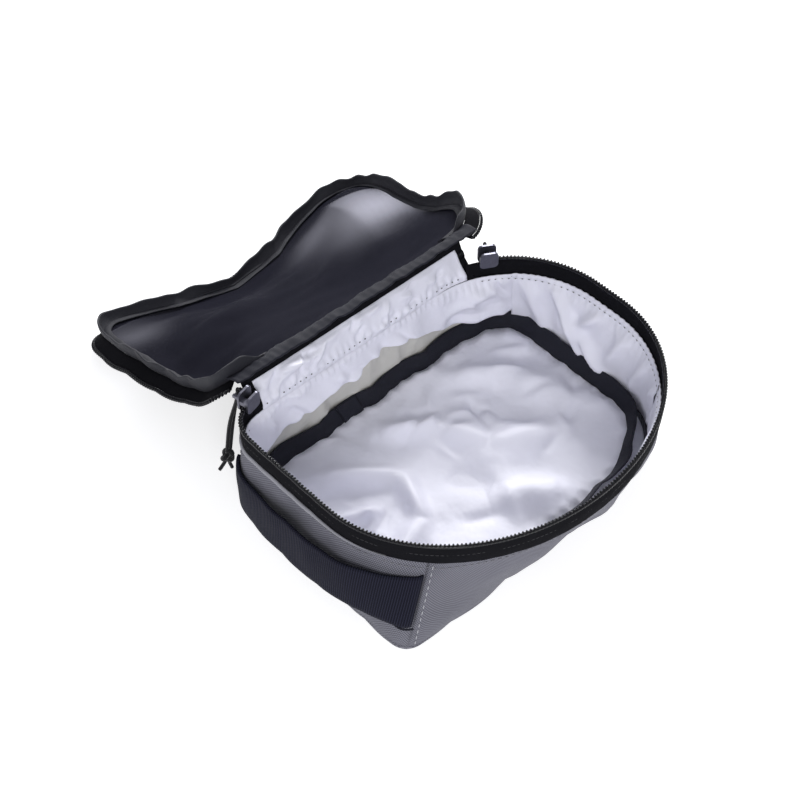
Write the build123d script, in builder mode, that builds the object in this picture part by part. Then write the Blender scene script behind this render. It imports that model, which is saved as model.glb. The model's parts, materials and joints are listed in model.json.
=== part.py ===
"""Soft zip-around pouch, standing open: charcoal body, grab handle, mesh lid turned back, two zip sliders.

Frame: origin at the centre of the flat patch the base rests on, +Z up, +X along the long side (the grab
handle is at -X), +Y towards the hinge side. Sizes are in millimetres. The lid is built in its open place.
"""

import os
from math import cos, pi, radians, sin

from build123d import *

os.makedirs("parts", exist_ok=True)

# Driving dimensions
FABRIC = 1.2  # outer woven fabric
LINING = 0.6  # slippery inner fabric
CLEAR = 0.3  # air gap between neighbouring soft pieces
WALL_TOP = 46.0  # top edge of the outer fabric wall
LINING_TOP = 47.0  # height of the seam that joins lining, tape and hinge strip
RIM_TAPE_TOP = 56.7
TAPE = 0.8  # zip tape
COIL_RADIUS = 1.3
RIM_COIL_Z = 58.0
CHAIN_GAP = 3.0  # between rim coil and lid coil with the lid shut: the slider's wedge runs in it
CHAIN_INSET = 0.4  # the chain's centre line runs this far inside the rim outline

STRIP_Y = 74.5  # the hinge strip folds about this line at LINING_TOP
STRIP_LEFT, STRIP_RIGHT = -78.0, 60.0
STRIP_TILT = 27.0  # the strip leans back from upright when the lid is open
LID_SLOPE = 24.0  # the open lid slopes down behind the pouch
LID_COIL_DEPTH = 2.95  # lid coil centre, measured from the lid's fold line towards the lid's inner side
LID_FOLD_Z = RIM_COIL_Z + 2 * COIL_RADIUS + CHAIN_GAP + LID_COIL_DEPTH  # fold height, lid shut
STRIP_LENGTH = LID_FOLD_Z - LINING_TOP

WEBBING_WIDTH = 25.0
WEBBING = 1.6
HANDLE_Z = 24.5

# How an outline is drawn
START_SHIFT = 10.0  # its first point lies this far left of the middle of the back side
LONG_STRETCH = 24.0  # a straight stretch longer than this gets a point in its middle
SHORT_STRETCH = 1.0  # points nearer than this are taken as one


class Loop:
    """A rounded closed outline: four sides at stated distances, each corner an elliptical quarter."""

    def __init__(self, left, right, front, back, corners):
        self.left, self.right, self.front, self.back = left, right, front, back
        self.corners = corners  # (x radius, y radius) of back left, front left, front right, back right

    def points(self, inset=0.0, steps=10):
        """Points anticlockwise from the middle of the back side."""
        ends = [
            (self.left, self.back),
            (self.left, self.front),
            (self.right, self.front),
            (self.right, self.back),
        ]
        out = [((self.left + self.right) / 2 - START_SHIFT, self.back - inset)]
        for number, ((x, y), (rx, ry)) in enumerate(zip(ends, self.corners)):
            inward_x = 1 if x == self.left else -1
            inward_y = 1 if y == self.front else -1
            centre = (x + inward_x * rx, y + inward_y * ry)
            for step in range(steps + 1):
                angle = pi / 2 * (number + 1 + step / steps)
                point = (centre[0] + (rx - inset) * cos(angle), centre[1] + (ry - inset) * sin(angle))
                previous = out[-1]
                apart = abs(point[0] - previous[0]) + abs(point[1] - previous[1])
                if apart > SHORT_STRETCH:
                    if apart > LONG_STRETCH:
                        out.append(((point[0] + previous[0]) / 2, (point[1] + previous[1]) / 2))
                    out.append(point)
        return out


RIM = Loop(-101, 101, -81, 76, [(20, 20), (101, 81), (101, 81), (59, 59)])
BASE = Loop(-104, 94, -58, 75, [(25, 25), (20, 20), (42, 38), (30, 30)])
LID = Loop(-101, 101, -72, 76, [(20, 20), (46, 46), (46, 46), (59, 59)])
LEFT_TURN = (-81.0, 56.0, 20.0)  # centre and radius of the rim's back left corner
RIGHT_TURN = (42.0, 17.0, 59.0)  # the same at the back right

# Directions of the corner seams from the middle: back left, front left, front right, back right
SEAMS = [(-95.0, 70.0), (-86.0, -52.0), (84.0, -50.0), (86.0, 62.0)]
FAR = 3.0  # seam rays reach this many times further out


def outline(loop, inset=0.0, mode=Mode.ADD):
    """The face inside a loop, in the sketch that is being built."""
    with BuildLine() as edge:
        Spline(*loop.points(inset), periodic=True)
    make_face(edge.edges(), mode=mode)


def polygon(points, mode=Mode.ADD):
    """The face inside straight sides, in the sketch that is being built."""
    with BuildLine() as sides:
        Polyline(*points, close=True)
    make_face(sides.edges(), mode=mode)


def strip_plane(tilt):
    """Plane of the hinge strip: local x along the fold, local y up the strip, local z to the outside."""
    lean = radians(tilt)
    return Plane(origin=(0, STRIP_Y, LINING_TOP), x_dir=(-1, 0, 0), z_dir=(0, cos(lean), -sin(lean)))


def lid_plane():
    """Plane of the open lid: local y runs away from the fold, local z to the lid's inner side."""
    lean, slope = radians(STRIP_TILT), radians(LID_SLOPE)
    fold = (0, STRIP_Y + STRIP_LENGTH * sin(lean), LINING_TOP + STRIP_LENGTH * cos(lean))
    return Plane(origin=fold, x_dir=(1, 0, 0), z_dir=(0, sin(slope), cos(slope)))


STRIP_PLANE = strip_plane(STRIP_TILT)
LID_PLANE = lid_plane()


def save(part, name):
    """Labels a finished piece and writes its STEP file."""
    part.label = name
    export_step(part, f"parts/{name}.step")


def shell(name, outer, inner, low, high):
    """Wall between the base and rim outlines: flares from the one to the other, as a thin skin."""
    with BuildPart() as skin:
        for inset, mode in ((outer, Mode.ADD), (inner, Mode.SUBTRACT)):
            with BuildSketch(Plane.XY.offset(low)) as foot:
                outline(BASE, inset)
            with BuildSketch(Plane.XY.offset(high)) as head:
                outline(RIM, inset)
            loft([foot.sketch.face(), head.sketch.face()], ruled=True, mode=mode)
    skin.part.label = name
    return skin


def sector(first, second, gap):
    """Corner points of the wedge between two seam rays, kept half a gap off each ray."""
    (x1, y1), (x2, y2) = SEAMS[first], SEAMS[second]
    along = ((x1 + x2) / 2, (y1 + y2) / 2)
    size = (along[0] ** 2 + along[1] ** 2) ** 0.5
    tip = (along[0] / size * gap, along[1] / size * gap)
    return [tip, (tip[0] + FAR * x1, tip[1] + FAR * y1), (tip[0] + FAR * x2, tip[1] + FAR * y2)]


def panel(name, source, first, second, low, high):
    """One panel of a wall skin, between two corner seams and two heights."""
    with BuildPart() as piece:
        add(source.part)
        with BuildSketch(Plane.XY.offset(low)):
            polygon(sector(first, second, CLEAR))
        extrude(amount=high - low, mode=Mode.INTERSECT)
    save(piece.part, name)


BACK_LEFT, FRONT_LEFT, FRONT_RIGHT, BACK_RIGHT = range(4)

# Outer fabric: base and four walls
with BuildPart() as base_panel:
    with BuildSketch():
        outline(BASE)
    extrude(amount=FABRIC)
save(base_panel.part, "base_panel")

WALL_FOOT = FABRIC + CLEAR
walls = shell("walls", 0.0, FABRIC, WALL_FOOT, WALL_TOP)
panel("handle_end_panel", walls, BACK_LEFT, FRONT_LEFT, WALL_FOOT, WALL_TOP)
panel("front_panel", walls, FRONT_LEFT, FRONT_RIGHT, WALL_FOOT, WALL_TOP)
panel("far_end_panel", walls, FRONT_RIGHT, BACK_RIGHT, WALL_FOOT, WALL_TOP)
panel("back_panel", walls, BACK_RIGHT, BACK_LEFT, WALL_FOOT, WALL_TOP)

# Lining: floor, walls, and the loose double layer along the back
LINING_IN = FABRIC + 2 * CLEAR
FLOOR_Z = FABRIC + CLEAR
with BuildPart() as base_lining:
    with BuildSketch(Plane.XY.offset(FLOOR_Z)):
        outline(BASE, LINING_IN)
    extrude(amount=LINING)
save(base_lining.part, "base_lining")

LINING_FOOT = FLOOR_Z + LINING + CLEAR
SEAM_ALLOWANCE = 1.0  # the lining stops this far under the seam at LINING_TOP
linings = shell("linings", LINING_IN, LINING_IN + LINING, LINING_FOOT, LINING_TOP - SEAM_ALLOWANCE)
panel("handle_end_lining", linings, BACK_LEFT, FRONT_LEFT, LINING_FOOT, LINING_TOP)
panel("front_lining", linings, FRONT_LEFT, FRONT_RIGHT, LINING_FOOT, LINING_TOP)
panel("far_end_lining", linings, FRONT_RIGHT, BACK_RIGHT, LINING_FOOT, LINING_TOP)
BACK_FLAP_FOOT = 20.0  # the loose layer hangs down to here
panel("back_lining_lower", linings, BACK_RIGHT, BACK_LEFT, LINING_FOOT, BACK_FLAP_FOOT)
panel("back_lining_flap", linings, BACK_RIGHT, BACK_LEFT, BACK_FLAP_FOOT + CLEAR, LINING_TOP)

# Binding tape over the inner bottom seam, standing up against the lining
BINDING_HEIGHT = 10.0
BINDING = 1.2
BINDING_IN = LINING_IN + LINING + 1.0  # the binding stands this far inside the rim outline
binding_skin = shell("binding", BINDING_IN, BINDING_IN + BINDING, LINING_FOOT, LINING_TOP)
with BuildPart() as base_seam_binding:
    add(binding_skin.part)
    with BuildSketch(Plane.XY.offset(LINING_FOOT)):
        outline(BASE)
    extrude(amount=BINDING_HEIGHT, mode=Mode.INTERSECT)
save(base_seam_binding.part, "base_seam_binding")


def turn_point(turn, angle, inset=CHAIN_INSET):
    """Point on a back corner of the rim, at an angle from +X about the corner's centre."""
    x, y, radius = turn
    return (x + (radius - inset) * cos(radians(angle)), y + (radius - inset) * sin(radians(angle)))


LEFT_SLIDER_AT, RIGHT_SLIDER_AT = 104.0, 60.0  # where the sliders stand, the zip being fully open
RIM_CHAIN_LEFT, RIM_CHAIN_RIGHT = 92.0, 64.0  # the rim chain ends just inside the sliders
LID_CHAIN_LEFT, LID_CHAIN_RIGHT = 124.0, 52.0  # the lid chain starts clear of them
CUT_DEEP = 60.0


def back_gap(left_angle, right_angle):
    """Outline of the stretch of the back side that has no zip."""
    left, right = turn_point(LEFT_TURN, left_angle), turn_point(RIGHT_TURN, right_angle)
    left_centre, right_centre = LEFT_TURN[:2], RIGHT_TURN[:2]

    def beyond(centre, point):
        return (centre[0] + 2 * (point[0] - centre[0]), centre[1] + 2 * (point[1] - centre[1]))

    past_left, past_right = beyond(left_centre, left), beyond(right_centre, right)
    return [left_centre, past_left, (0, CUT_DEEP * 4), past_right, right_centre]


def ring(loop, outer, inner):
    """The band between two insets of a loop."""
    outline(loop, outer)
    outline(loop, inner, Mode.SUBTRACT)


# Rim half of the zip: tape on edge, coil on its top edge
with BuildPart() as rim_zip_tape:
    with BuildSketch(Plane.XY.offset(WALL_TOP + CLEAR)):
        ring(RIM, 0.0, TAPE)
        polygon(back_gap(RIM_CHAIN_LEFT, RIM_CHAIN_RIGHT), Mode.SUBTRACT)
    extrude(amount=RIM_TAPE_TOP - CLEAR - WALL_TOP - CLEAR)
save(rim_zip_tape.part, "rim_zip_tape")


def chain_path(loop, left_angle, right_angle):
    """Points of an open chain round a loop, from the left back corner by the front to the right one."""
    loop_points = loop.points(CHAIN_INSET)
    left, right = turn_point(LEFT_TURN, left_angle), turn_point(RIGHT_TURN, right_angle)
    low = LEFT_TURN[1]
    middle = [p for p in loop_points if p[1] < low and (p[0] < 0 or p[1] < RIGHT_TURN[1])]
    left_arc = [turn_point(LEFT_TURN, a) for a in range(int(left_angle) + 8, 180, 9)]
    right_arc = [turn_point(RIGHT_TURN, a) for a in range(4, int(right_angle) - 5, 6)]
    return [left, *left_arc, *middle, *right_arc, right]


def coil(name, plane, points):
    """A zip coil as a round bead along an open path in a plane."""
    with BuildPart() as bead:
        with BuildLine(plane) as path:
            Spline(*points)
        with BuildSketch(Plane(origin=path.line @ 0, z_dir=path.line % 0)):
            Circle(COIL_RADIUS)
        sweep(path=path.line)
    save(bead.part, name)


coil("rim_zip_coil", Plane.XY.offset(RIM_COIL_Z), chain_path(RIM, RIM_CHAIN_LEFT, RIM_CHAIN_RIGHT))

# Hinge strip: charcoal outside, white lining inside, from the back seam to the lid's edge
STRIP_END_GAP = 1.2
STRIP_MIDDLE = -(STRIP_LEFT + STRIP_RIGHT) / 2
HALF_GAP = 0.2  # outer layer to the strip's middle plane
OUTER_LAYER = 0.8
STRIP_LAYERS = (
    ("hinge_strip_outer", HALF_GAP, OUTER_LAYER),
    ("hinge_strip_lining", -LINING - HALF_GAP / 2, LINING),
)
for strip_name, depth, thickness in STRIP_LAYERS:
    with BuildPart() as strip:
        with BuildSketch(STRIP_PLANE.offset(depth)):
            with Locations((STRIP_MIDDLE, STRIP_LENGTH / 2)):
                Rectangle(STRIP_RIGHT - STRIP_LEFT, STRIP_LENGTH - 2 * STRIP_END_GAP)
        extrude(amount=thickness)
    save(strip.part, strip_name)

# The few closed teeth left between the strip's end and the right slider
STUB_LENGTH = 5.0
STUB_SHARE = 0.62  # how far up the strip the chain runs
STUB_WIDTH, STUB_THICKNESS = 4.6, 2.6
with BuildPart() as closed_chain_end:
    with BuildSketch(Plane(origin=(STRIP_RIGHT + CLEAR, 0, 0), x_dir=(0, 1, 0), z_dir=(1, 0, 0))):
        lean = radians(STRIP_TILT)
        stub_up = STRIP_LENGTH * STUB_SHARE
        with Locations((STRIP_Y + stub_up * sin(lean), LINING_TOP + stub_up * cos(lean))):
            SlotOverall(STUB_WIDTH, STUB_THICKNESS, rotation=90 - STRIP_TILT)
    extrude(amount=STUB_LENGTH)
save(closed_chain_end.part, "closed_chain_end")

# Lid, built in its own plane: local y is the distance from the fold line
MESH_INSET = 9.0
BORDER_INSET, BORDER_WIDTH, BORDER_HEIGHT = 10.0, 2.0, 4.6
BAND_START, BAND_END = 1.5, 11.0  # the band along the hinge lies between these
BAND_OVERHANG = 4.0  # past each end of the hinge strip
BAND = 1.0
MESH = 0.6
LID_TAPE_Z = 1.2


def seen_from_fold(loop):
    """The loop in the lid's plane, where y is the distance in front of the fold."""
    back_left, front_left, front_right, back_right = loop.corners
    corners = [front_left, back_left, back_right, front_right]
    return Loop(loop.left, loop.right, STRIP_Y - loop.back, STRIP_Y - loop.front, corners)


OPEN_LID = seen_from_fold(LID)


def clear_of_fold(start):
    """Cuts away what lies nearer the fold than start, in the lid sketch that is being built."""
    with Locations((0, start - CUT_DEEP / 2)):
        Rectangle(4 * CUT_DEEP, CUT_DEEP, mode=Mode.SUBTRACT)


with BuildPart() as lid_mesh_panel:
    with BuildSketch(LID_PLANE.offset(HALF_GAP)):
        outline(OPEN_LID, MESH_INSET)
        clear_of_fold(BAND_END + CLEAR)
    extrude(amount=MESH)
save(lid_mesh_panel.part, "lid_mesh_panel")

with BuildPart() as lid_hinge_band:
    with BuildSketch(LID_PLANE.offset(HALF_GAP)):
        with Locations(((STRIP_LEFT + STRIP_RIGHT) / 2, (BAND_START + BAND_END) / 2)):
            Rectangle(STRIP_RIGHT - STRIP_LEFT + 2 * BAND_OVERHANG, BAND_END - BAND_START)
    extrude(amount=BAND)
save(lid_hinge_band.part, "lid_hinge_band")


def lid_back_gap():
    """The same gap in the lid's plane, where local y runs the other way."""
    return [(x, STRIP_Y - y) for x, y in back_gap(LID_CHAIN_LEFT, LID_CHAIN_RIGHT)]


with BuildPart() as lid_zip_tape:
    with BuildSketch(LID_PLANE.offset(LID_TAPE_Z)):
        ring(OPEN_LID, CHAIN_INSET + COIL_RADIUS + HALF_GAP, BORDER_INSET + BORDER_WIDTH)
        polygon(lid_back_gap(), Mode.SUBTRACT)
        clear_of_fold(BAND_START)
    extrude(amount=TAPE)
save(lid_zip_tape.part, "lid_zip_tape")

with BuildPart() as lid_border_binding:
    with BuildSketch(LID_PLANE.offset(LID_TAPE_Z + TAPE + CLEAR)):
        ring(OPEN_LID, BORDER_INSET, BORDER_INSET + BORDER_WIDTH)
        clear_of_fold(BAND_END + CLEAR)
    extrude(amount=BORDER_HEIGHT)
save(lid_border_binding.part, "lid_border_binding")

LID_PATH = [(x, STRIP_Y - y) for x, y in chain_path(LID, LID_CHAIN_LEFT, LID_CHAIN_RIGHT)]
coil("lid_zip_coil", LID_PLANE.offset(LID_COIL_DEPTH), LID_PATH)

# Sliders: two plates over the chain, a wedge between the coils and a bail for the cord
CHAIN_MIDDLE_Z = RIM_COIL_Z + COIL_RADIUS + CHAIN_GAP / 2
SLIDER_LENGTH = 10.0
PLATE = 1.2
CHANNEL = 4.0
PLATE_LOW = 54.5 - CHAIN_MIDDLE_Z
INNER_PLATE_TOP = 64.4 - CHAIN_MIDDLE_Z
OUTER_PLATE_TOP = 65.6 - CHAIN_MIDDLE_Z
PLATE_CORNER = 2.4
WEDGE_HEIGHT = 2.3
WEDGE_MOUTH, WEDGE_SHOULDER, WEDGE_TIP = 4.8, 2.4, 0.4  # along the slider, from its middle
BAIL_REACH = 3.4  # bar centre, measured from the outer plate
BAR_RADIUS = 0.9
BAIL_SPAN = 6.4
POST_WIDTH = 1.4


def slider_plane(turn, angle):
    """Plane of a slider on a back corner: local x along the chain, local y up, local z outwards."""
    x, y = turn_point(turn, angle)
    along = (-sin(radians(angle)), cos(radians(angle)), 0)
    outwards = (cos(radians(angle)), sin(radians(angle)), 0)
    return Plane(origin=(x, y, CHAIN_MIDDLE_Z), x_dir=along, z_dir=outwards)


def bail_bar(plane):
    """Centre of the bail's bar."""
    return plane.offset(CHANNEL / 2 + PLATE + BAIL_REACH).origin


def slider(name, plane, mouth):
    """mouth is +1 or -1: the end of the slider, along local x, where the chain opens."""
    half = WEDGE_HEIGHT / 2
    post_at = (BAIL_SPAN - POST_WIDTH) / 2
    wedge = [
        (mouth * WEDGE_MOUTH, -half),
        (mouth * WEDGE_MOUTH, half),
        (mouth * WEDGE_SHOULDER, half),
        (mouth * WEDGE_TIP, 0),
        (mouth * WEDGE_SHOULDER, -half),
    ]
    with BuildPart() as body:
        for start, top in ((-CHANNEL / 2 - PLATE, INNER_PLATE_TOP), (CHANNEL / 2, OUTER_PLATE_TOP)):
            with BuildSketch(plane.offset(start)):
                with Locations((0, (PLATE_LOW + top) / 2)):
                    RectangleRounded(SLIDER_LENGTH, top - PLATE_LOW, PLATE_CORNER)
            extrude(amount=PLATE)
        with BuildSketch(plane.offset(-CHANNEL / 2 - PLATE / 2)):
            polygon(wedge)
        extrude(amount=CHANNEL + PLATE)
        with BuildSketch(plane.offset(CHANNEL / 2 + PLATE / 2)):
            with Locations((-post_at, 0), (post_at, 0)):
                Rectangle(POST_WIDTH, 2 * BAR_RADIUS)
        extrude(amount=PLATE / 2 + BAIL_REACH + BAR_RADIUS)
        bar_end = bail_bar(plane) - plane.x_dir * (BAIL_SPAN / 2)
        with BuildSketch(Plane(origin=bar_end, z_dir=plane.x_dir)):
            Circle(BAR_RADIUS)
        extrude(amount=BAIL_SPAN)
    save(body.part, name)


LEFT_PLANE = slider_plane(LEFT_TURN, LEFT_SLIDER_AT)
RIGHT_PLANE = slider_plane(RIGHT_TURN, RIGHT_SLIDER_AT)
slider("left_slider", LEFT_PLANE, 1)
slider("right_slider", RIGHT_PLANE, -1)

# Cord pulls: a loop round the bail's bar, a doubled cord and an overhand knot with two short tails
CORD_RADIUS = 1.0
DOUBLED_RADIUS = 1.6  # the two strands side by side
JOINT_RADIUS = 1.02 * DOUBLED_RADIUS  # rounds the bend between two stretches of cord
EYE_RADIUS = BAR_RADIUS + CORD_RADIUS + 0.35
KNOT_RADIUS = 3.6
TAIL = 6.0
LEFT_BEND, LEFT_KNOT = Vector(-91, 80.5, 44), Vector(-98, 77.2, 22)
RIGHT_BEND, RIGHT_KNOT = Vector(1.2, 2, -18), Vector(2, 2.4, -36)  # from the right bail's bar


def cord_pull(name, plane, bend, knot):
    """The doubled cord runs from the bail round one bend to the knot."""
    bar = bail_bar(plane)
    under = bar - Vector(0, 0, EYE_RADIUS + DOUBLED_RADIUS - CORD_RADIUS)
    stops = [under, bend, knot]
    with BuildPart() as pull:
        with BuildSketch(Plane(origin=bar + Vector(0, 0, EYE_RADIUS), x_dir=plane.x_dir, z_dir=plane.z_dir)):
            Circle(CORD_RADIUS)
        revolve(axis=Axis(bar, plane.x_dir), revolution_arc=360)
        for start, end in zip(stops, stops[1:]):
            with BuildSketch(Plane(origin=start, z_dir=end - start)):
                Circle(DOUBLED_RADIUS)
            extrude(amount=(end - start).length)
            with Locations(start):
                Sphere(JOINT_RADIUS)
        with Locations(knot):
            Sphere(KNOT_RADIUS)
        for side in (-1, 1):
            tail_dir = plane.x_dir * (side / 2) - Vector(0, 0, 1)
            with BuildSketch(Plane(origin=knot, z_dir=tail_dir)):
                Circle(CORD_RADIUS)
            extrude(amount=KNOT_RADIUS + TAIL)
    save(pull.part, name)


cord_pull("left_cord_pull", LEFT_PLANE, LEFT_BEND, LEFT_KNOT)
right_bar = bail_bar(RIGHT_PLANE)
cord_pull("right_cord_pull", RIGHT_PLANE, right_bar + RIGHT_BEND, right_bar + RIGHT_KNOT)

# Grab handle: webbing that bows out from the end wall, its two ends sewn into the corner seams
HANDLE_PATH = [(-99.0, -47.0), (-106.5, -27.0), (-111.5, 8.0), (-109.0, 40.0), (-103.4, 58.0)]
HANDLE_CUTS = (-27.0, 45.0)  # the free stretch of the strap lies between these
CUT_GAP = 0.5


def webbing(name, keep):
    """The strap's stretches between pairs of distances along Y."""
    with BuildLine() as centre:
        Spline(*HANDLE_PATH)
    with BuildPart() as strap:
        with BuildSketch(Plane.XY.offset(HANDLE_Z - WEBBING_WIDTH / 2)):
            trace(centre.line, line_width=WEBBING)
        extrude(amount=WEBBING_WIDTH)
        with BuildSketch(Plane.XY) as kept:
            for start, end in keep:
                with Locations((-100, (start + end) / 2)):
                    Rectangle(CUT_DEEP, end - start)
        extrude(amount=2 * CUT_DEEP, mode=Mode.INTERSECT)
    save(strap.part, name)


webbing("grab_handle", [HANDLE_CUTS])
webbing("handle_sewn_ends", [(-60, HANDLE_CUTS[0] - CUT_GAP), (HANDLE_CUTS[1] + CUT_GAP, 75)])
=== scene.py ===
"""Looks of the soft zip-around pouch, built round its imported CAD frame.

All shapes are worked out in millimetres as numpy arrays, in the CAD frame. mesh_piece() makes them metres.
"""

import json
import math

import bpy
import numpy as np
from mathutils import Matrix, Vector


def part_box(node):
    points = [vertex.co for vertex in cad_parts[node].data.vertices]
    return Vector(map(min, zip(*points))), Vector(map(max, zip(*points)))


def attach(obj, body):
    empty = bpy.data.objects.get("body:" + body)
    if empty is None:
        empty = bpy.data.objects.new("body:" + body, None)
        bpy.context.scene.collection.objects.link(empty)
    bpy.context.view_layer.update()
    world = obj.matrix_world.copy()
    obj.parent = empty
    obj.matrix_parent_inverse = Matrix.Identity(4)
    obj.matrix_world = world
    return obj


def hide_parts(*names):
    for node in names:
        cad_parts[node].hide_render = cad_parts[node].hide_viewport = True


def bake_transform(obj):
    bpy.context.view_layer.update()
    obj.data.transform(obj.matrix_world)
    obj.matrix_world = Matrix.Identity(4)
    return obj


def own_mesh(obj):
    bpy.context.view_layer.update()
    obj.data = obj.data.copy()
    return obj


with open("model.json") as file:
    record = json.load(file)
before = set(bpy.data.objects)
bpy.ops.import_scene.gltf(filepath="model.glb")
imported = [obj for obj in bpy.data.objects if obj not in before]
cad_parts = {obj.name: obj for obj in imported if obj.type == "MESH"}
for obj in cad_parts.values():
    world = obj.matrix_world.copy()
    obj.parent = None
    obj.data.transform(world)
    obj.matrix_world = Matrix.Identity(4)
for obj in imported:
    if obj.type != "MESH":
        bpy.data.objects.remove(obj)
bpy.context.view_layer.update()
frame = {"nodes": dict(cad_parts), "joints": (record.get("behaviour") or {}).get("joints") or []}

MM = 0.001


# ---------------------------------------------------------------- places taken from the frame

def box(node):
    """Lowest and highest corner of a CAD node, in millimetres."""
    low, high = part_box(node)
    return np.array(low) / MM, np.array(high) / MM


def joint(name):
    """One joint of the record."""
    return next(j for j in frame["joints"] if j["name"] == name)


STRIP_FOOT = np.array(joint("strip_fold")["pos_m"]) / MM
FOLD = np.array(joint("lid_fold")["pos_m"]) / MM
LID_SLOPE = math.radians(joint("lid_fold")["range_deg"][1] + joint("strip_fold")["range_deg"][1] - 180)
STRIP_LEFT, STRIP_RIGHT = box("hinge_strip_outer")[0][0], box("hinge_strip_outer")[1][0]
WALL_TOP = box("front_panel")[1][2]
TAPE_TOP = box("rim_zip_tape")[1][2]
COIL_Z = (box("rim_zip_coil")[0][2] + box("rim_zip_coil")[1][2]) / 2
CENTRE = np.array([0.0, 5.0])  # angles round the pouch are taken from here


class Outline:
    """A box with elliptical corners, as (x radius, y radius), from back left by the front to back right."""

    def __init__(self, low, high, corners, centre=CENTRE):
        self.low, self.high, self.corners, self.centre = low, high, corners, centre

    def points(self, inset):
        """Dense points anticlockwise."""
        (left, front), (right, back) = self.low[:2], self.high[:2]
        ends = [(left, back), (left, front), (right, front), (right, back)]
        rows = []
        for number, ((x, y), (rx, ry)) in enumerate(zip(ends, self.corners)):
            angle = np.linspace(0, math.pi / 2, 60) + math.pi / 2 * (number + 1)
            middle_x = x + rx * (1 if x == left else -1)
            middle_y = y + ry * (1 if y == front else -1)
            across = middle_x + (rx - inset) * np.cos(angle)
            along = middle_y + (ry - inset) * np.sin(angle)
            rows.append(np.stack([across, along], 1))
        corners = np.concatenate(rows + [rows[0][:1]])
        steps = np.linspace(0, len(corners) - 1, 4 * len(corners))
        index = np.arange(len(corners))
        return np.stack([np.interp(steps, index, corners[:, k]) for k in (0, 1)], 1)

    def at(self, angle, inset=0.0):
        """Points of the outline in the given directions from the centre."""
        rel = self.points(inset) - self.centre
        reach = np.interp(angle, np.arctan2(rel[:, 1], rel[:, 0]), np.hypot(rel[:, 0], rel[:, 1]),
                          period=2 * math.pi)
        return self.centre + np.stack([reach * np.cos(angle), reach * np.sin(angle)], -1)

    def stations(self, start, end, step):
        """Directions from start anticlockwise to end, in equal steps of length along the outline."""
        dense = np.linspace(start, end, 3000)
        points = self.at(dense)
        length = np.concatenate([[0], np.cumsum(np.linalg.norm(np.diff(points, axis=0), axis=1))])
        count = max(2, int(length[-1] / step))
        return np.interp(np.linspace(0, length[-1], count + 1), length, dense)


RIM = Outline(*box("rim_zip_tape"), [(20, 20), (101, 81), (101, 81), (59, 59)])
BASE = Outline(*box("base_panel"), [(22, 22), (11, 11), (42, 38), (26, 26)])


def gap_ends(node):
    """Directions at which an open band round the pouch starts and ends, anticlockwise from its left end."""
    vertices = frame["nodes"][node].data.vertices
    directions = np.sort([math.atan2(v.co.y / MM - CENTRE[1], v.co.x / MM - CENTRE[0]) for v in vertices])
    gaps = np.diff(np.append(directions, directions[0] + 2 * math.pi))
    widest = int(np.argmax(gaps))
    left = directions[(widest + 1) % len(directions)]
    right = directions[widest]
    return left, right + (2 * math.pi if right < left else 0)


CHAIN_START, CHAIN_END = gap_ends("rim_zip_tape")
BACK_LEFT, FRONT_LEFT, FRONT_RIGHT, BACK_RIGHT = (
    math.atan2(y - CENTRE[1], x - CENTRE[0]) % (2 * math.pi)
    for x, y in ((-95, 70), (-86, -52), (84, -50), (86, 62))
)
TURN = 2 * math.pi


# ---------------------------------------------------------------- shape helpers

def smooth(t):
    """Smoothstep of t held between 0 and 1."""
    t = np.clip(t, 0, 1)
    return t * t * (3 - 2 * t)


def crease(u, v, start, end, width, height):
    """A soft ridge along the line from start to end."""
    (u0, v0), (u1, v1) = start, end
    du, dv = u1 - u0, v1 - v0
    share = np.clip(((u - u0) * du + (v - v0) * dv) / (du * du + dv * dv), 0, 1)
    away = np.hypot(u - u0 - share * du, v - v0 - share * dv)
    taper = np.sin(math.pi * np.clip(share * 0.9 + 0.05, 0, 1)) ** 0.7
    return height * taper * np.exp(-((away / width) ** 2))


def ripples(u, v, seed, length, height, stretch=1.0, count=14):
    """Uneven waves about length long: cloth that doesn't lie flat."""
    waves = np.random.default_rng(seed)
    total = np.zeros(np.broadcast(u, v).shape)
    for _ in range(count):
        turn = waves.uniform(0, math.pi)
        k = TURN / (length * waves.uniform(0.6, 1.8))
        phase = waves.uniform(0, TURN)
        total += np.sin(k * (math.cos(turn) * u + math.sin(turn) * v * stretch) + phase)
    return height * total / math.sqrt(count)


def wrinkles(u, v, seed, length, height, count=24, span=(150, 45), direction=None, spread=0.5):
    """Short creases scattered over a cloth of the given span."""
    draw = np.random.default_rng(seed)
    total = np.zeros(np.broadcast(u, v).shape)
    for _ in range(count):
        middle = draw.uniform(0, span[0]), draw.uniform(0, span[1])
        turn = draw.uniform(0, math.pi) if direction is None else direction + draw.uniform(-spread, spread)
        half = length * draw.uniform(0.4, 1.0) / 2
        reach = (half * math.cos(turn), half * math.sin(turn))
        total += crease(u, v, (middle[0] - reach[0], middle[1] - reach[1]),
                        (middle[0] + reach[0], middle[1] + reach[1]),
                        length * draw.uniform(0.06, 0.14), height * draw.uniform(-1, 1))
    return total


def unit(v):
    """Vectors scaled to length 1."""
    return v / np.maximum(np.linalg.norm(v, axis=-1, keepdims=True), 1e-9)


def along(points):
    """Distance run along a line of points."""
    return np.concatenate([[0], np.cumsum(np.linalg.norm(np.diff(points, axis=0), axis=1))])


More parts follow.
